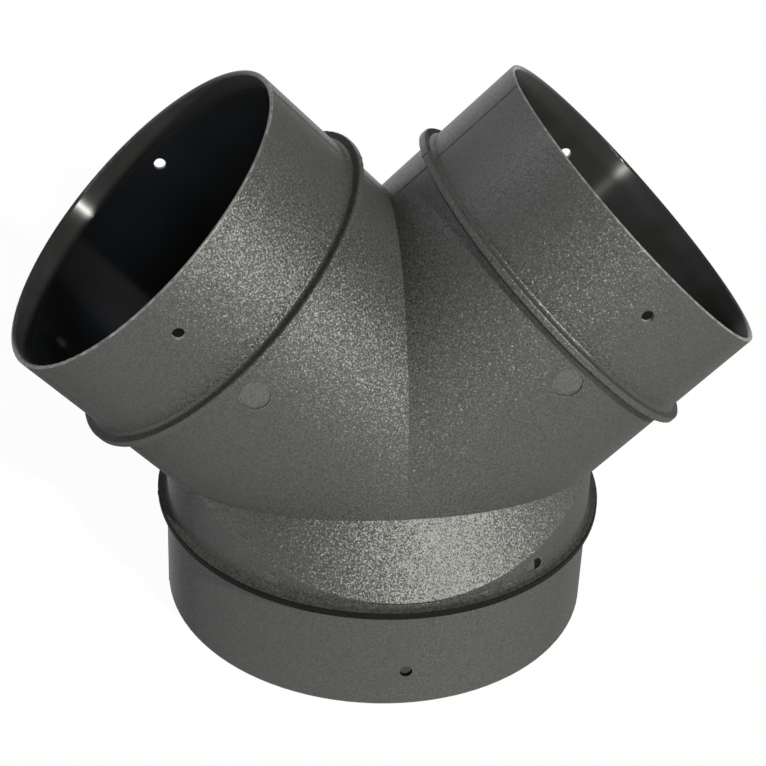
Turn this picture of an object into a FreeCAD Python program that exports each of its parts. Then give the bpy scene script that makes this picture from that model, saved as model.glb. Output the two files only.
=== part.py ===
import FreeCAD, Part
import math
import os

# Duct Y branch: one plastic moulding, a wide stem that splits into two narrower branches.
# It stands on its stem rim. The origin is the centre of that rim, +Z runs up the stem,
# and both branches lie in the XZ plane. All sizes are in millimetres and degrees.

# Stem, the wide spigot at the foot
stem_radius = 45.0
axes_height = 39.4
stem_rib_inset = 23.6

# Branches, two equal narrow spigots that lean out to either side
branch_radius = 36.5
branch_angle = 45.0
branch_reach = 70.3
branch_rib_inset = 22.5

# Wall of the moulding, and the rounds on the outer and the inner edge of each rim
wall = 1.0
rim_outer_round = 0.3
rim_inner_round = 0.55

# Shoulder that narrows the front and back of the stem to the depth of the branches
shoulder_drop = 14.0
shoulder_overhang = 1.7
shoulder_lap = 2.0

# Stop rib round the root of each spigot
stem_rib_height = 2.0
branch_rib_height = 2.3
rib_crest_width = 1.4
rib_foot_width = 1.8
rib_edge_round = 0.3
rib_foot_round = 0.8
rib_foot_sink = 0.03

# Screw holes through the front and back of each spigot
screw_hole_radius = 1.25
screw_hole_inset = 8.3

# Shallow round marks that the ejector pins leave on the front
mark_depth = 0.25
branch_mark_radius = 3.0
branch_mark_from_rib = 5.6
stem_mark_radius = 1.8
stem_mark_from_rib = 2.8
stem_mark_angle = 36.0

# How far a cutting tool runs past the face it cuts
tool_margin = 1.0

UP = FreeCAD.Vector(0, 0, 1)
DOWN = FreeCAD.Vector(0, 0, -1)
BACK = FreeCAD.Vector(0, 1, 0)
ACROSS = FreeCAD.Vector(1, 0, 0)
ORIGIN = FreeCAD.Vector(0, 0, 0)

meeting_point = UP * axes_height
lean = math.radians(branch_angle)
right_axis = FreeCAD.Vector(math.sin(lean), 0, math.cos(lean))
left_axis = FreeCAD.Vector(-math.sin(lean), 0, math.cos(lean))


def rod(radius, axis, start, end):
    """A solid cylinder along an axis from the meeting point, between two distances along it."""
    return Part.makeCylinder(radius, end - start, meeting_point + axis * start, axis)


def oval_wire(half_width, half_depth, height):
    """A level ellipse round the stem axis, as a back half and a front half."""
    stretch = FreeCAD.Matrix()
    stretch.scale(half_width, half_depth, 1.0)
    halves = [Part.makeCircle(1.0, ORIGIN, UP, start, start + 180) for start in (0, 180)]
    wire = Part.Wire([edge for half in halves for edge in half.transformGeometry(stretch).Edges])
    wire.translate(UP * height)
    return wire


def branch_pair(radius, reach):
    """Two equal cylinders from the meeting point, mitred together in the plane x = 0."""
    size = 2 * (reach + radius)
    right_side = Part.makeBox(size, 2 * size, 2 * size, meeting_point - FreeCAD.Vector(0, size, size))
    right = rod(radius, right_axis, 0, reach).common(right_side)
    left = right.mirror(ORIGIN, ACROSS)
    return right.fuse(left)


def stem_body(stem, branch, foot):
    """The stem cylinder, trimmed at front and back by a tapered oval that ends inside the branches.

    At the height where the axes meet, the oval is as deep as the branches and a little wider than
    the stem. It grows evenly downwards, and is as deep as the stem at the foot of the shoulder.
    """
    side_meeting = (stem * math.cos(lean) - branch) / math.sin(lean)
    rise = max(side_meeting, 0.0) + shoulder_lap
    fall = shoulder_drop + shoulder_lap
    slope = (stem - branch) / shoulder_drop
    half_width = stem + shoulder_overhang
    lower = oval_wire(half_width + slope * fall, branch + slope * fall, axes_height - fall)
    upper = oval_wire(half_width - slope * rise, branch - slope * rise, axes_height + rise)
    taper = Part.makeLoft([lower, upper], True, True)
    around = Part.makeCylinder(2 * half_width, fall + rise, UP * (axes_height - fall))
    stem_cylinder = Part.makeCylinder(stem, axes_height + rise - foot, UP * foot)
    return stem_cylinder.cut(around.cut(taper))


def rounded_outline(corners):
    """A closed outline through points, each given with the radius of the round there, or 0 for none."""
    points = [point for point, radius in corners]
    starts = []
    ends = []
    arcs = []
    for index, (corner, radius) in enumerate(corners):
        back = (points[index - 1] - corner).normalize()
        ahead = (points[(index + 1) % len(points)] - corner).normalize()
        half_angle = back.getAngle(ahead) / 2
        reach = radius / math.tan(half_angle)
        starts.append(corner + back * reach)
        ends.append(corner + ahead * reach)
        if radius > 0:
            bisector = (back + ahead).normalize()
            middle = corner + bisector * (radius / math.sin(half_angle) - radius)
            arcs.append(Part.Arc(starts[-1], middle, ends[-1]).toShape())
    lines = [Part.makeLine(ends[index - 1], starts[index]) for index in range(len(points))]
    return Part.Wire(Part.sortEdges(lines + arcs)[0])


def rib(axis, radius, centre, height):
    """A ring with steep flanks, rounded crest edges and rounded feet, set into the wall."""
    root = radius - wall / 2
    foot = radius - rib_foot_sink
    crest = radius + height
    edge_round = min(rib_edge_round, rib_crest_width / 3)
    foot_round = min(rib_foot_round, height / 2)
    half_foot = rib_foot_width / 2
    half_crest = rib_crest_width / 2
    half_toe = half_foot + 1.1 * foot_round
    upper_half = [
        (crest, half_crest, edge_round),
        (foot, half_foot, foot_round),
        (foot, half_toe, 0),
        (root, half_foot, 0),
    ]
    lower_half = [(out, -along, radius_there) for out, along, radius_there in reversed(upper_half)]
    outline = upper_half + lower_half
    corners = [(FreeCAD.Vector(out, 0, along), radius_there) for out, along, radius_there in outline]
    ring = Part.Face(rounded_outline(corners)).revolve(ORIGIN, UP, 360)
    ring.Placement = FreeCAD.Placement(meeting_point + axis * centre, FreeCAD.Rotation(UP, axis))
    return ring


def screw_holes(axis, radius, reach):
    """One drill along Y through the front and the back of a spigot."""
    depth = radius + tool_margin
    start = meeting_point + axis * (reach - screw_hole_inset) - BACK * depth
    return Part.makeCylinder(screw_hole_radius, 2 * depth, start, BACK)


def pin_mark(axis, radius, centre, size):
    """A shallow round recess that follows the curve of the wall, pressed in from the front."""
    pin = Part.makeCylinder(size, radius, centre - BACK * (radius + tool_margin), BACK)
    return pin.cut(rod(radius - mark_depth, axis, -2 * branch_reach, 2 * branch_reach))


def marks():
    """The ejector marks: one on each branch beside its rib, two on the stem above its rib."""
    tools = []
    for axis in (left_axis, right_axis):
        along = branch_reach - branch_rib_inset - branch_mark_from_rib
        tools.append(pin_mark(axis, branch_radius, meeting_point + axis * along, branch_mark_radius))
    aside = stem_radius * math.sin(math.radians(stem_mark_angle))
    height = stem_rib_inset + stem_mark_from_rib
    for side in (-1, 1):
        centre = FreeCAD.Vector(side * aside, 0, height)
        tools.append(pin_mark(UP, stem_radius, centre, stem_mark_radius))
    return tools


def outer_form():
    """The outside of the moulding, with the ejector marks and the three stop ribs."""
    form = branch_pair(branch_radius, branch_reach)
    form = form.fuse(stem_body(stem_radius, branch_radius, 0.0)).removeSplitter()
    form = form.cut(marks())
    ribs = [rib(DOWN, stem_radius, axes_height - stem_rib_inset, stem_rib_height)]
    for axis in (left_axis, right_axis):
        ribs.append(rib(axis, branch_radius, branch_reach - branch_rib_inset, branch_rib_height))
    return form.fuse(ribs)


def inner_form():
    """The air passage, which runs past all three rims."""
    form = branch_pair(branch_radius - wall, branch_reach + tool_margin)
    passage = stem_body(stem_radius - wall, branch_radius - wall, -tool_margin)
    return form.fuse(passage).removeSplitter()


def rim_faces(shape):
    """The three rims, which are the only flat faces with an outer and an inner edge."""
    flats = [face for face in shape.Faces if isinstance(face.Surface, Part.Plane)]
    return [face for face in flats if len(face.Wires) == 2]


def round_rims(shape):
    """Round the outer edge of every rim, then the inner edge by more."""
    outer = [face.OuterWire for face in rim_faces(shape)]
    outer_edges = [edge for wire in outer for edge in wire.Edges]
    shape = shape.makeFillet(min(rim_outer_round, 0.3 * wall), outer_edges)
    rims = rim_faces(shape)
    inner = [wire for face in rims for wire in face.Wires if not wire.isSame(face.OuterWire)]
    inner_edges = [edge for wire in inner for edge in wire.Edges]
    return shape.makeFillet(min(rim_inner_round, 0.55 * wall), inner_edges)


def y_branch():
    """The whole moulding: the outside less the air passage and the screw holes."""
    shape = round_rims(outer_form().cut(inner_form()))
    spigots = [
        (DOWN, stem_radius, axes_height),
        (left_axis, branch_radius, branch_reach),
        (right_axis, branch_radius, branch_reach),
    ]
    return shape.cut([screw_holes(axis, radius, reach) for axis, radius, reach in spigots])


os.makedirs("parts", exist_ok=True)
moulding = y_branch()
print("solids", len(moulding.Solids), "valid", moulding.isValid(), "volume", round(moulding.Volume, 1))
moulding.Solids[0].exportStep("parts/y_branch.step")
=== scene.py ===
import math

import bpy
import numpy as np
from mathutils import Matrix, Vector


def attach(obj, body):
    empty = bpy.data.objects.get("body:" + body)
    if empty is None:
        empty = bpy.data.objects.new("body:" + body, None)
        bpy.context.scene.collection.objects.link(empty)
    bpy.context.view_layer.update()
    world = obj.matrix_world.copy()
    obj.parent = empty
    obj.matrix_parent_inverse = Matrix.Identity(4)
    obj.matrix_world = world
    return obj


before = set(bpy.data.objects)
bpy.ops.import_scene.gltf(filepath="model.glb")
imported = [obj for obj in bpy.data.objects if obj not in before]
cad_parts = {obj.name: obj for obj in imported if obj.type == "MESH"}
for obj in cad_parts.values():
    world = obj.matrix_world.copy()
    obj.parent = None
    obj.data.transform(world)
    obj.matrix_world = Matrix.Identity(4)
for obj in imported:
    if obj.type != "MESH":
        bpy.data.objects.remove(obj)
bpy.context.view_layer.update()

# Duct Y branch: a black moulding with a spark-eroded skin and a polished air passage.
# The stem stands on the floor and both branches lie in the XZ plane. Lengths are in metres.
MM = 0.001
ROOT_2 = math.sqrt(2)

# Stem, branches and the shoulder between them
STEM_RADIUS = 45.0 * MM
BRANCH_RADIUS = 36.5 * MM
BRANCH_REACH = 70.3 * MM
AXES_HEIGHT = 39.4 * MM
WALL = 1.0 * MM
RIM_ROUND = 0.3 * MM
SHOULDER_DROP = 14.0 * MM
SHOULDER_SLOPE = (STEM_RADIUS - BRANCH_RADIUS) / SHOULDER_DROP
SHOULDER_OVERHANG = 1.7 * MM
SHOULDER_RISE = 5.0 * MM

# Stop ribs
BRANCH_RIB = 47.8 * MM
BRANCH_RIB_HEIGHT = 2.3 * MM
STEM_RIB = 23.6 * MM
STEM_RIB_HEIGHT = 2.0 * MM
RIB_HALF_CREST = 0.7 * MM
RIB_HALF_FOOT = 0.9 * MM
RIB_EDGE_ROUND = 0.3 * MM
RIB_FOOT_ROUND = 0.8 * MM

# Screw holes and ejector marks
HOLE_RADIUS = 1.25 * MM
HOLE_INSET = 8.3 * MM
BRANCH_MARK = 42.2 * MM
BRANCH_MARK_RADIUS = 3.0 * MM
STEM_MARK_RADIUS = 1.8 * MM
STEM_MARK_HEIGHT = 26.4 * MM
STEM_MARK_ANGLE = math.radians(36)
STEM_MARK_ASIDE = STEM_RADIUS * math.sin(STEM_MARK_ANGLE)

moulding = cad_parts["y_branch"]


# Finishes of the moulding, found from where each face lies

# Numbers of the finishes, in the order in which dress adds their materials. Three of them are painted
# light: a painted highlight on the rims, painted shade in near-black, and a painted glint on the
# branches' hole walls
SKIN, BORE, RIM_HIGHLIGHT, FLANK, MARK, PAINTED_SHADE, HOLE_GLINT = range(7)

# How far a face may lie from the surface that it belongs to
HAIR = 0.05 * MM
# Rise above the wall at which a rib's flank begins, towards a branch's mouth and elsewhere
MOUTH_FOOT_LINE = 0.72 * MM
FOOT_LINE = 0.005 * MM
# A hole's wall faces less than this along the drill
HOLE_WALL_FACING = 0.5
# Distance right of a mark's middle beyond which the stem's right mark is painted near-black as shade
SHADED_HALF_FROM = 0.2 * MM


def branch_place(points):
    """Distance along a branch's axis from the meeting point, level offset, and distance from the axis.

    Both halves are folded onto the right: along = (|x| + rise) / sqrt 2, aside = (|x| - rise) / sqrt 2,
    and the distance from the axis is the hypotenuse of aside and y.
    """
    across = np.abs(points[:, 0])
    rise = points[:, 2] - AXES_HEIGHT
    along = (across + rise) / ROOT_2
    aside = (across - rise) / ROOT_2
    return along, aside, np.hypot(aside, points[:, 1])


def in_passage(points):
    """True inside the middle of the wall: in a branch, or in the stem within its tapered oval.

    In the oval, (x / half width)^2 + (y / half depth)^2 < 1, and both halves grow evenly downwards.
    """
    along, _, from_branch = branch_place(points)
    drop = AXES_HEIGHT - points[:, 2]
    from_stem = np.hypot(points[:, 0], points[:, 1])
    half_width = STEM_RADIUS + SHOULDER_OVERHANG - WALL / 2 + SHOULDER_SLOPE * drop
    half_depth = BRANCH_RADIUS - WALL / 2 + SHOULDER_SLOPE * drop
    oval = (points[:, 0] / half_width) ** 2 + (points[:, 1] / half_depth) ** 2
    in_stem = (from_stem < STEM_RADIUS - WALL / 2) & (oval < 1) & (drop > -SHOULDER_RISE)
    in_branch = (from_branch < BRANCH_RADIUS - WALL / 2) & (along > 0)
    return in_stem | in_branch


def of_faces(mesh, quantity):
    """The centre or the normal of every face."""
    values = np.empty(3 * len(mesh.polygons))
    mesh.polygons.foreach_get(quantity, values)
    return values.reshape(-1, 3)


def finish_of_faces(mesh):
    """Finish number of every face, from where its centre lies and which way it faces."""
    centres = of_faces(mesh, "center")
    normals = of_faces(mesh, "normal")
    x, y, height = centres.T
    along, aside, from_branch = branch_place(centres)
    from_stem = np.hypot(x, y)

    # A mouth's outer round and flat are its rim, painted pale as a highlight, and its inner round belongs
    # to the bore
    stem_mouth = height < RIM_ROUND
    mouth = stem_mouth | (along > BRANCH_REACH - RIM_ROUND)
    lean = (normals[:, 0] * np.sign(x) - normals[:, 2]) / ROOT_2
    away_from_branch = lean * aside + normals[:, 1] * y
    away_from_stem = normals[:, 0] * x + normals[:, 1] * y
    inward = np.where(stem_mouth, away_from_stem, away_from_branch) < -HAIR
    rim_highlight_faces = mouth & ~inward
    bore = in_passage(centres) | (mouth & inward)

    # Ribs: the flanks of all three, and the stem's crest, painted near-black as shade
    rib_reach = RIB_HALF_FOOT + RIB_FOOT_ROUND
    rise = np.where(np.abs(along - BRANCH_RIB) < rib_reach, from_branch - BRANCH_RADIUS, 0)
    foot_line = np.where(along > BRANCH_RIB, MOUTH_FOOT_LINE, FOOT_LINE)
    flank = (rise > foot_line) & (rise < BRANCH_RIB_HEIGHT - RIB_EDGE_ROUND - HAIR)
    rise = np.where(np.abs(height - STEM_RIB) < rib_reach, from_stem - STEM_RADIUS, 0)
    crest_line = STEM_RIB_HEIGHT - RIB_EDGE_ROUND - HAIR
    flank |= (rise > FOOT_LINE) & (rise < crest_line)
    painted_shade_faces = rise > crest_line

    # Screw holes: walls in the branches painted pale as a glint, walls in the stem painted near-black as
    # shade
    hole_wall = np.abs(normals[:, 1]) < HOLE_WALL_FACING
    from_branch_hole = np.hypot(along - (BRANCH_REACH - HOLE_INSET), aside)
    from_stem_hole = np.hypot(x, height - HOLE_INSET)
    glint_wall_faces = hole_wall & (from_branch_hole < HOLE_RADIUS + HAIR)
    painted_shade_faces |= hole_wall & (from_stem_hole < HOLE_RADIUS + HAIR)

    # Ejector marks on the front, with painted shade in near-black on one half of the stem's right mark
    near_branch_mark = np.hypot(along - BRANCH_MARK, aside) < BRANCH_MARK_RADIUS + HAIR
    from_stem_mark = np.hypot(np.abs(x) - STEM_MARK_ASIDE, height - STEM_MARK_HEIGHT)
    near_stem_mark = from_stem_mark < STEM_MARK_RADIUS + HAIR
    sunk = near_branch_mark & (from_branch < BRANCH_RADIUS - HAIR)
    sunk |= near_stem_mark & (from_stem < STEM_RADIUS - HAIR) & (height > STEM_RIB)
    mark = sunk & (y < 0) & ~bore
    painted_shade_faces |= mark & near_stem_mark & (x > STEM_MARK_ASIDE + SHADED_HALF_FROM)

    # The first finish that fits a face wins
    fits = [glint_wall_faces, rim_highlight_faces, flank, painted_shade_faces, bore, mark]
    return np.select(fits, [HOLE_GLINT, RIM_HIGHLIGHT, FLANK, PAINTED_SHADE, BORE, MARK], SKIN)


# Nodes of the materials

def add(tree, kind, *sides, operation=None, **named):
    """A new node. Sides fill its first sockets in turn, and named values the sockets of those names.

    A value is a constant or another node's output. An underscore in a name stands for a space.
    """
    node = tree.nodes.new(kind)
    if operation:
        node.operation = operation
    values = list(zip(node.inputs, sides))
    values += [(node.inputs[name.replace("_", " ")], value) for name, value in named.items()]
    for socket, value in values:
        if isinstance(value, bpy.types.NodeSocket):
            tree.links.new(value, socket)
        else:
            socket.default_value = value
    return node


def math_node(tree, operation, *sides):
    """The result of a math node on one or two sides."""
    return add(tree, "ShaderNodeMath", *sides, operation=operation).outputs[0]


def split(tree, vector):
    """The X, Y and Z of a vector."""
    return add(tree, "ShaderNodeSeparateXYZ", vector).outputs


def scaled(tree, vector, factor):
    """A vector made longer or shorter by a factor."""
    return add(tree, "ShaderNodeVectorMath", vector, operation="SCALE", Scale=factor).outputs[0]


def leaned_normal(tree, lean):
    """The surface's normal with a lean added, brought back to unit length."""
    normal = add(tree, "ShaderNodeNewGeometry").outputs["Normal"]
    total = add(tree, "ShaderNodeVectorMath", normal, lean, operation="ADD").outputs[0]
    return add(tree, "ShaderNodeVectorMath", total, operation="NORMALIZE").outputs[0]


def ramp(tree, value, start, end, low=0.0, high=1.0):
    """A value that runs evenly from low at start to high at end, and stays level beyond them."""
    limits = {"From_Min": start, "From_Max": end, "To_Min": low, "To_Max": high}
    return add(tree, "ShaderNodeMapRange", Value=value, **limits).outputs["Result"]


def noise(tree, place, size, detail, scatter):
    """Noise whose bumps are about size across."""
    return add(tree, "ShaderNodeTexNoise", Vector=place, Scale=1 / size, Detail=detail, Roughness=scatter)


def two_tone(tree, value, limits, dark, light):
    """Colour that runs from dark to light between two limits of a value."""
    node = add(tree, "ShaderNodeValToRGB", value)
    for element, position, colour in zip(node.color_ramp.elements, limits, (dark, light)):
        element.position = position
        element.color = (*colour, 1)
    return node.outputs["Color"]


def colour_mix(tree, share, first, second):
    """A blend of two colours. The node's colour sockets come after those for numbers and vectors."""
    node = tree.nodes.new("ShaderNodeMix")
    node.data_type = "RGBA"
    for number, source in ((0, share), (6, first), (7, second)):
        tree.links.new(source, node.inputs[number])
    return node.outputs[2]


def plastic(name, colour, roughness, ior):
    """A dielectric material with its object coordinates at hand."""
    material = bpy.data.materials.new(name)
    material.use_nodes = True
    tree = material.node_tree
    shader = tree.nodes["Principled BSDF"]
    shader.inputs["Base Color"].default_value = (*colour, 1)
    shader.inputs["Roughness"].default_value = roughness
    shader.inputs["IOR"].default_value = ior
    shader.distribution = "GGX"
    place = add(tree, "ShaderNodeTexCoord").outputs["Object"]
    return material, tree, shader, place


# Grained finishes

SKIN_DARK = (0.0080, 0.0080, 0.0072)
SKIN_LIGHT = (0.0320, 0.0320, 0.0285)
MARK_DARK = (0.026, 0.026, 0.0234)
MARK_LIGHT = (0.047, 0.047, 0.0423)
TONE_LIMITS = (0.35, 0.68)
SKIN_IOR = 1.72

# Roughness seen square on, in patches of a size, and seen aslant on the front and the back
SKIN_ROUGH = (0.46, 0.51)
PATCH_SIZE = 9 * MM
FRONT_EDGE_ROUGH = 0.93
BACK_EDGE_ROUGH = 0.42
SLANT_LIMITS = (0.20, 0.65)

# Pits and peaks, and how far the grains lean
GRAIN_SIZE = 0.42 * MM
GRAIN_HEIGHT = 0.03 * MM
CRYSTAL_SIZE = 0.36 * MM
NOISE_MIDDLE = (0.5, 0.5, 0.5)
SKIN_TILT = 1.25
MARK_TILT = 1.0
BACK_TILT = 0.65

# Run of y over which the front half's grain gives way to the back half's
SEAM_RUN = (-14.0 * MM, 3.5 * MM)


def slant_roughness(tree, rough, edge_rough):
    """Roughness that goes over to another where the surface is seen aslant and pits hide each other."""
    facing = add(tree, "ShaderNodeLayerWeight").outputs["Facing"]
    slant = ramp(tree, facing, *SLANT_LIMITS)
    return add(tree, "ShaderNodeMix", Factor=slant, A=rough, B=edge_rough).outputs["Result"]


def crystal_tilt(tree, place, tilt):
    """Normals that lean a little at random from grain to grain, so that some grains catch the lamp."""
    crystals = noise(tree, place, CRYSTAL_SIZE, detail=1.0, scatter=0.5).outputs["Color"]
    centred = add(tree, "ShaderNodeVectorMath", crystals, NOISE_MIDDLE, operation="SUBTRACT").outputs[0]
    return leaned_normal(tree, scaled(tree, centred, tilt))


def grained(name, dark, light, tilt):
    """Spark-eroded plastic: fine pits and peaks, with paler peaks. The back half is smoother."""
    material, tree, shader, place = plastic(name, dark, SKIN_ROUGH[0], SKIN_IOR)
    grain = noise(tree, place, GRAIN_SIZE, detail=2.0, scatter=0.6).outputs["Fac"]
    behind = ramp(tree, split(tree, place)["Y"], *SEAM_RUN)
    leaning = crystal_tilt(tree, place, ramp(tree, behind, 0, 1, tilt, BACK_TILT))
    bump = add(tree, "ShaderNodeBump", Distance=GRAIN_HEIGHT, Height=grain, Normal=leaning)
    tree.links.new(bump.outputs["Normal"], shader.inputs["Normal"])
    tree.links.new(two_tone(tree, grain, TONE_LIMITS, dark, light), shader.inputs["Base Color"])
    patch = noise(tree, place, PATCH_SIZE, detail=1.0, scatter=0.5).outputs["Fac"]
    rough = ramp(tree, patch, 0, 1, *SKIN_ROUGH)
    edge_rough = ramp(tree, behind, 0, 1, FRONT_EDGE_ROUGH, BACK_EDGE_ROUGH)
    tree.links.new(slant_roughness(tree, rough, edge_rough), shader.inputs["Roughness"])
    return material


def grained_skin():
    """The outside of the moulding."""
    return grained("grained_skin", SKIN_DARK, SKIN_LIGHT, SKIN_TILT)


def pin_mark():
    """The end of an ejector pin: a weaker grain than the skin round it."""
    return grained("pin_mark", MARK_DARK, MARK_LIGHT, MARK_TILT)


# Polished finish

BORE_DARK = (0.0135, 0.0135, 0.0126)
BORE_ROUGH = 0.20
BORE_IOR = 1.36

BORE_SMUDGE = (0.0195, 0.0202, 0.0215)
SMUDGE_SIZE = 14 * MM
SMUDGE_LIMITS = (0.40, 0.68)

# Painted light in the left branch's passage: pale patches, which grow along a run of x
BORE_PAINTED_LIGHT = (0.034, 0.040, 0.050)
PAINTED_LIGHT_SIZE = 26 * MM
PAINTED_LIGHT_LIMITS = (0.36, 0.66)
PAINTED_LIGHT_RUN = (-14 * MM, -46 * MM)

# Depth from the rim at which a branch's lip begins and is complete, with the left one deeper
LIP_START = 4.68 * MM
LIP_FULL = 2.16 * MM
LEFT_LIP_MORE = 1.4 * MM
LIP_MIDDLE = 0.5
LIP_ROUGH = 0.30
LIP_FLARE = 0.085


def branch_lip(tree, x, z):
    """0 inside a branch and 1 on its lip. Along a branch, |x| + z grows by sqrt 2 per unit."""
    reach = math_node(tree, "ADD", math_node(tree, "ABSOLUTE", x), z)
    left = math_node(tree, "LESS_THAN", x, 0.0)
    deeper = math_node(tree, "MULTIPLY", left, ROOT_2 * LEFT_LIP_MORE)
    start = AXES_HEIGHT + ROOT_2 * (BRANCH_REACH - LIP_START)
    full = AXES_HEIGHT + ROOT_2 * (BRANCH_REACH - LIP_FULL)
    return ramp(tree, math_node(tree, "ADD", reach, deeper), start, full)


def polished_bore():
    """The core's turned polish, faintly smudged: it draws a lamp out into a streak along the passage.

    The lip of each branch is duller and opens a little, and the left branch's passage has painted light
    in pale patches.
    """
    material, tree, shader, place = plastic("polished_bore", BORE_DARK, BORE_ROUGH, BORE_IOR)
    x, _, z = split(tree, place)
    axis = add(tree, "ShaderNodeCombineXYZ", X=math_node(tree, "SIGN", x), Z=1.0).outputs[0]
    shader.inputs["Anisotropic"].default_value = 1.0
    tree.links.new(axis, shader.inputs["Tangent"])
    lip = branch_lip(tree, x, z)
    tree.links.new(ramp(tree, lip, 0, 1, BORE_ROUGH, LIP_ROUGH), shader.inputs["Roughness"])
    opening = scaled(tree, axis, ramp(tree, lip, 0, 1, 0, LIP_FLARE))
    tree.links.new(leaned_normal(tree, opening), shader.inputs["Normal"])
    smudges = noise(tree, place, SMUDGE_SIZE, detail=2.0, scatter=0.6).outputs["Fac"]
    smudge = two_tone(tree, smudges, SMUDGE_LIMITS, BORE_DARK, BORE_SMUDGE)
    light_patches = noise(tree, place, PAINTED_LIGHT_SIZE, detail=1.0, scatter=0.5).outputs["Fac"]
    painted_light = two_tone(tree, light_patches, PAINTED_LIGHT_LIMITS, BORE_DARK, BORE_PAINTED_LIGHT)
    inside = math_node(tree, "LESS_THAN", lip, LIP_MIDDLE)
    painted_light_share = math_node(tree, "MULTIPLY", inside, ramp(tree, x, *PAINTED_LIGHT_RUN))
    tree.links.new(colour_mix(tree, painted_light_share, smudge, painted_light), shader.inputs["Base Color"])
    return material


# Smooth finishes

def mottled(name, dark, light, size, roughness, ior):
    """Smooth plastic whose tone drifts between two shades in spots of a size."""
    material, tree, shader, place = plastic(name, dark, roughness, ior)
    spots = noise(tree, place, size, detail=2.0, scatter=0.6).outputs["Fac"]
    tree.links.new(two_tone(tree, spots, TONE_LIMITS, dark, light), shader.inputs["Base Color"])
    return material


def painted_rim_highlight():
    """The edge of a mouth, painted pale as a highlight."""
    dark, light = (0.06, 0.06, 0.055), (0.17, 0.17, 0.159)
    return mottled("painted_rim_highlight", dark, light, size=1.5 * MM, roughness=0.4, ior=1.45)


def rib_flank():
    """The steep sides of a rib, which a turned groove in the mould leaves smooth."""
    dark, light = (0.022, 0.022, 0.0203), (0.056, 0.056, 0.0517)
    return mottled("rib_flank", dark, light, size=0.6 * MM, roughness=0.75, ior=1.25)


def painted_shade_black():
    """Painted shade in near-black on the stem rib's crest, the stem's hole walls and half of a mark."""
    dark, light = (0.002, 0.002, 0.0019), (0.006, 0.006, 0.0056)
    return mottled("painted_shade_black", dark, light, size=0.6 * MM, roughness=0.7, ior=1.2)


def painted_hole_glint():
    """A branch's screw-hole wall, painted pale as a glint of the lamp."""
    dark, light = (0.10, 0.10, 0.095), (0.30, 0.30, 0.28)
    return mottled("painted_hole_glint", dark, light, size=0.5 * MM, roughness=0.35, ior=1.5)


def flash_lip():
    """Flash squeezed out round a pin, pale in places."""
    dark, light = (0.02, 0.02, 0.018), (0.12, 0.12, 0.11)
    return mottled("flash_lip", dark, light, size=1.0 * MM, roughness=0.4, ior=1.5)


def parting_edge():
    """The sharp seam of the mould halves, smooth and black."""
    dark, light = (0.010, 0.010, 0.0093), (0.032, 0.032, 0.0296)
    return mottled("parting_edge", dark, light, size=2 * MM, roughness=0.5, ior=1.38)


def dress(node):
    """Give every face of the moulding its finish."""
    mesh = node.data
    mesh.materials.clear()
    finishes = grained_skin, polished_bore, painted_rim_highlight, rib_flank, pin_mark, painted_shade_black, painted_hole_glint
    for finish in finishes:
        mesh.materials.append(finish())
    mesh.polygons.foreach_set("material_index", finish_of_faces(mesh).astype(np.int32))


# Pieces made from points

def turns(count):
    """Evenly spaced angles of one full turn."""
    return np.arange(count) * 2 * math.pi / count


def new_piece(name, vertices, faces, material):
    """An object in the scene from its vertices, its faces and one material."""
    mesh = bpy.data.meshes.new(name)
    mesh.from_pydata(vertices.tolist(), [], faces)
    mesh.materials.append(material)
    piece = bpy.data.objects.new(name, mesh)
    bpy.context.scene.collection.objects.link(piece)
    return piece


# Parting line

SEAM_HALF_WIDTH = 0.13 * MM
SEAM_HALF_HEIGHT = 0.09 * MM
SEAM_SIDES = 8
SEAM_ARC_POINTS = 6
SEAM_END = 0.35 * MM


def rib_outline(height):
    """Distance from a rib's middle and rise above the wall, from one toe over the crest to the other.

    Each half is two arcs: the foot's round, hollow, and the crest's round. The flank joins them.
    """
    lean = math.atan2(RIB_HALF_FOOT - RIB_HALF_CREST, height)
    reach = 1 / math.tan((math.pi / 2 + lean) / 2)
    turn = np.linspace(0, math.pi / 2 - lean, SEAM_ARC_POINTS)
    foot_out = RIB_HALF_FOOT + RIB_FOOT_ROUND * (reach - np.sin(turn))
    foot_rise = RIB_FOOT_ROUND * (1 - np.cos(turn))
    crest_out = RIB_HALF_CREST + RIB_EDGE_ROUND * (np.cos(lean + turn) - reach)
    crest_rise = height + RIB_EDGE_ROUND * (np.sin(lean + turn) - 1)
    out = np.concatenate([foot_out, crest_out])
    rise = np.concatenate([foot_rise, crest_rise])
    return np.concatenate([-out, out[::-1]]), np.concatenate([rise, rise[::-1]])


def wall_run(start, end, rib, height):
    """Distance along a spigot and rise above its wall, from start over a rib to end."""
    out, rise = rib_outline(height)
    along = np.concatenate([[start], rib + out, [end]])
    return along, np.concatenate([[0], rise, [0]])


def seam_paths():
    """Three paths in the plane y = 0: over both branches, and down either side.

    Each keeps the outside on its left. A point at a distance along a branch and out from its axis has
    x = (along - out) / sqrt 2 and z = (along + out) / sqrt 2 on the upper side, and the reverse below.
    """
    end = BRANCH_REACH - SEAM_END
    along, rise = wall_run(BRANCH_RADIUS, end, BRANCH_RIB, BRANCH_RIB_HEIGHT)
    out = BRANCH_RADIUS + rise
    half = np.stack([along - out, along + out], axis=1) / ROOT_2
    over = np.concatenate([half[:0:-1] * (-1, 1), half]) + (0, AXES_HEIGHT)
    along, rise = wall_run(ROOT_2 * STEM_RADIUS - BRANCH_RADIUS, end, BRANCH_RIB, BRANCH_RIB_HEIGHT)
    out = BRANCH_RADIUS + rise
    under = np.stack([along + out, along - out], axis=1) / ROOT_2 + (0, AXES_HEIGHT)
    height, rise = wall_run(SEAM_END, under[0, 1], STEM_RIB, STEM_RIB_HEIGHT)
    side = np.concatenate([np.stack([STEM_RADIUS + rise, height], axis=1)[:-1], under])
    return over, side[::-1], side * (-1, 1)


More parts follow.
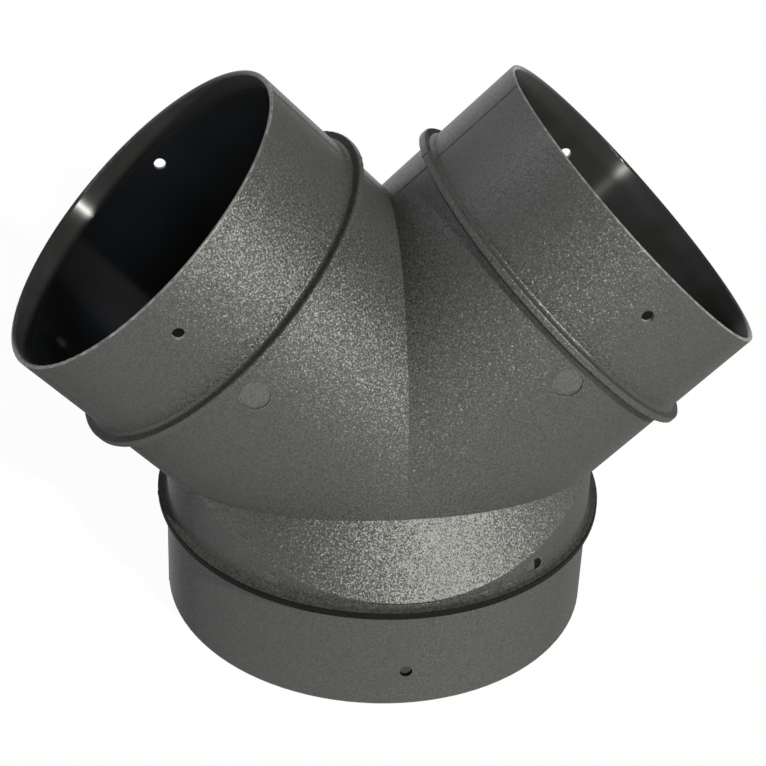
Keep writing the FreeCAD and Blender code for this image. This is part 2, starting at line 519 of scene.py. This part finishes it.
def seam_along(path):
    """Vertices and faces of a thin closed bead: an ellipse carried along a path, with pointed ends.

    A ring point is the path point, plus half height times sine of the turn along the path's left-hand
    normal, and half width times cosine of the turn along y.
    """
    heading = np.gradient(path, axis=0)
    heading /= np.linalg.norm(heading, axis=1, keepdims=True)
    left = np.stack([-heading[:, 1], heading[:, 0]], axis=1)
    turn = turns(SEAM_SIDES)
    lift = SEAM_HALF_HEIGHT * np.sin(turn)
    x, z = (path[:, None] + left[:, None] * lift[None, :, None]).transpose(2, 0, 1)
    y = np.broadcast_to(SEAM_HALF_WIDTH * np.cos(turn), x.shape)
    rings = np.stack([x, y, z], axis=2).reshape(-1, 3)
    ends = np.stack([path[[0, -1], 0], np.zeros(2), path[[0, -1], 1]], axis=1)
    index = np.arange(len(rings)).reshape(x.shape)
    ahead = np.roll(index, -1, axis=1)
    quads = np.stack([index[:-1], ahead[:-1], ahead[1:], index[1:]], axis=2).reshape(-1, 4)
    first = np.full(SEAM_SIDES, len(rings))
    start = np.stack([first, ahead[0], index[0]], axis=1)
    finish = np.stack([first + 1, index[-1], ahead[-1]], axis=1)
    return np.concatenate([rings, ends]), quads, np.concatenate([start, finish])


def parting_line():
    """The bead where the mould's front and back halves meet, right round the outside."""
    vertices = []
    faces = []
    offset = 0
    for path in seam_paths():
        points, quads, triangles = seam_along(path)
        vertices.append(points)
        faces += (quads + offset).tolist() + (triangles + offset).tolist()
        offset += len(points)
    piece = new_piece("parting_line", np.concatenate(vertices), faces, parting_edge())
    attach(piece, "root")


# Flash round the ejector pins

FLASH_HALF_WIDTH = 0.09 * MM
FLASH_HEIGHT = 0.08 * MM
FLASH_STEPS = 48
FLASH_SIDES = 8


def flash_ring(radius):
    """Level offset, offset along the spigot and lift of a thin ring: an ellipse carried round a circle.

    With p the turn round the pin and s the turn round the ellipse, reach = radius + half width * cos s,
    and the three are reach * cos p, reach * sin p and height * sin s.
    """
    round_pin, round_section = np.meshgrid(turns(FLASH_STEPS), turns(FLASH_SIDES), indexing="ij")
    reach = radius + FLASH_HALF_WIDTH * np.cos(round_section)
    return reach * np.cos(round_pin), reach * np.sin(round_pin), FLASH_HEIGHT * np.sin(round_section)


def pin_flash():
    """A paler lip of flash round each of the four ejector marks, lying on the curve of the wall.

    On a spigot of a radius, the front is at y = -sqrt((radius + lift)^2 - offset^2).
    """
    aside, along, lift = flash_ring(BRANCH_MARK_RADIUS)
    front = -np.sqrt((BRANCH_RADIUS + lift) ** 2 - aside ** 2)
    across = (BRANCH_MARK + along + aside) / ROOT_2
    rise = AXES_HEIGHT + (BRANCH_MARK + along - aside) / ROOT_2
    branch = np.stack([across, front, rise], axis=2)
    aside, along, lift = flash_ring(STEM_MARK_RADIUS)
    across = STEM_MARK_ASIDE + aside
    front = -np.sqrt((STEM_RADIUS + lift) ** 2 - across ** 2)
    stem = np.stack([across, front, STEM_MARK_HEIGHT + along], axis=2)
    index = np.arange(branch[..., 0].size).reshape(branch.shape[:2])
    beside = np.roll(index, -1, axis=1)
    onward = np.roll(index, -1, axis=0)
    quads = np.stack([index, beside, np.roll(beside, -1, axis=0), onward], axis=2).reshape(-1, 4)
    rings = [branch, stem, branch * (-1, 1, 1), stem * (-1, 1, 1)]
    # Mirroring turns a face over, so the rings on the right take their corners the other way round
    turned = [quads[:, ::-1], quads[:, ::-1], quads, quads]
    faces = [order + number * index.size for number, order in enumerate(turned)]
    vertices = np.concatenate(rings).reshape(-1, 3)
    piece = new_piece("pin_flash", vertices, np.concatenate(faces).tolist(), flash_lip())
    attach(piece, "root")


# Studio

WHITE = (1, 1, 1, 1)
WHITE_STRENGTH = 1.0
PAPER = (0.85, 0.85, 0.85, 1)
FLOOR_HALF = 4.0
FLOOR_GLOW = 0.96

# The world's light, and the height of a direction at which its white walls give way to the ceiling
WORLD_STRENGTH = 0.3
WALL_EDGE = 0.1
CEILING_EDGE = 0.4

KEY_DIRECTION = (0.370, -0.793, 0.485)
KEY_DISTANCE = 3.0
KEY_SIZE = 0.08
KEY_POWER = 133.0
KEY_COLOUR = (1.0, 0.985, 0.915)

SKY_DIRECTION = (-0.84, 0.30, 0.45)
SKY_DISTANCE = 2.0
SKY_SIZE = 1.6
SKY_POWER = 14.0
SKY_COLOUR = (0.88, 0.94, 1.0)

LAMP_AIM = Vector((0, 0, 50)) * MM

CAMERA_PLACE = Vector((-58.75, -357.23, 268.93)) * MM
CAMERA_AIM = Vector((0.80, 3.99, 46.07)) * MM
CAMERA_ROLL = math.radians(-2.557)
CAMERA_LENS = 95.56
CAMERA_SENSOR = 36.0


def seen_or_mirrored(tree):
    """1 for rays from the camera, from a reflection or through a clear piece, and 0 for light."""
    path = add(tree, "ShaderNodeLightPath").outputs
    first = math_node(tree, "MAXIMUM", path["Is Camera Ray"], path["Is Glossy Ray"])
    return math_node(tree, "MAXIMUM", first, path["Is Transmission Ray"])


def pale_floor():
    """A level sheet that shows as white paper with a faint shadow, and does not glow inside the stem."""
    material = bpy.data.materials.new("white_paper")
    material.use_nodes = True
    tree = material.node_tree
    tree.nodes.clear()
    paper = add(tree, "ShaderNodeBsdfDiffuse", Color=PAPER).outputs[0]
    glow = add(tree, "ShaderNodeEmission", Color=WHITE, Strength=WHITE_STRENGTH).outputs[0]
    place = add(tree, "ShaderNodeTexCoord").outputs["Object"]
    from_stem = add(tree, "ShaderNodeVectorMath", place, operation="LENGTH").outputs["Value"]
    outside = math_node(tree, "GREATER_THAN", from_stem, STEM_RADIUS - WALL / 2)
    share = math_node(tree, "MULTIPLY", seen_or_mirrored(tree), FLOOR_GLOW)
    share = math_node(tree, "MULTIPLY", share, outside)
    blend = add(tree, "ShaderNodeMixShader", share, paper, glow).outputs[0]
    add(tree, "ShaderNodeOutputMaterial", blend)
    corners = np.array([(-1, -1, 0), (1, -1, 0), (1, 1, 0), (-1, 1, 0)]) * FLOOR_HALF
    floor = new_piece("floor", corners, [(0, 1, 2, 3)], material)


def white_surround():
    """A room with white walls under a dim ceiling: even soft light, and white where a wall is seen."""
    world = bpy.data.worlds.new("studio")
    world.use_nodes = True
    tree = world.node_tree
    tree.nodes.clear()
    direction = add(tree, "ShaderNodeTexCoord").outputs["Generated"]
    wall = ramp(tree, split(tree, direction)["Z"], CEILING_EDGE, WALL_EDGE)
    share = math_node(tree, "MULTIPLY", seen_or_mirrored(tree), wall)
    light = add(tree, "ShaderNodeBackground", Color=WHITE, Strength=WORLD_STRENGTH).outputs[0]
    white = add(tree, "ShaderNodeBackground", Color=WHITE, Strength=WHITE_STRENGTH).outputs[0]
    blend = add(tree, "ShaderNodeMixShader", share, light, white).outputs[0]
    add(tree, "ShaderNodeOutputWorld", blend)
    bpy.context.scene.world = world


def lamp(name, direction, distance, size, power, colour):
    """A round soft lamp that points at the object from a direction."""
    light = bpy.data.lights.new(name, "AREA")
    light.shape = "DISK"
    light.size = size
    light.energy = power
    light.color = colour
    holder = bpy.data.objects.new(name, light)
    bpy.context.scene.collection.objects.link(holder)
    holder.location = LAMP_AIM + Vector(direction).normalized() * distance
    holder.rotation_euler = (LAMP_AIM - holder.location).to_track_quat("-Z", "Y").to_euler()


def photo_camera():
    """The camera at the photograph's place, aimed at a point and turned a little about its own axis."""
    camera = bpy.data.cameras.new("camera")
    camera.sensor_width = CAMERA_SENSOR
    camera.lens = CAMERA_LENS
    holder = bpy.data.objects.new("camera", camera)
    bpy.context.scene.collection.objects.link(holder)
    look = (CAMERA_AIM - CAMERA_PLACE).to_track_quat("-Z", "Y").to_matrix().to_4x4()
    roll = Matrix.Rotation(-CAMERA_ROLL, 4, "Z")
    holder.matrix_world = Matrix.Translation(CAMERA_PLACE) @ look @ roll
    bpy.context.scene.camera = holder


dress(moulding)
parting_line()
pin_flash()
pale_floor()
white_surround()
lamp("key", KEY_DIRECTION, KEY_DISTANCE, KEY_SIZE, KEY_POWER, KEY_COLOUR)
lamp("sky", SKY_DIRECTION, SKY_DISTANCE, SKY_SIZE, SKY_POWER, SKY_COLOUR)
photo_camera()
bpy.context.scene.view_settings.view_transform = "Standard"
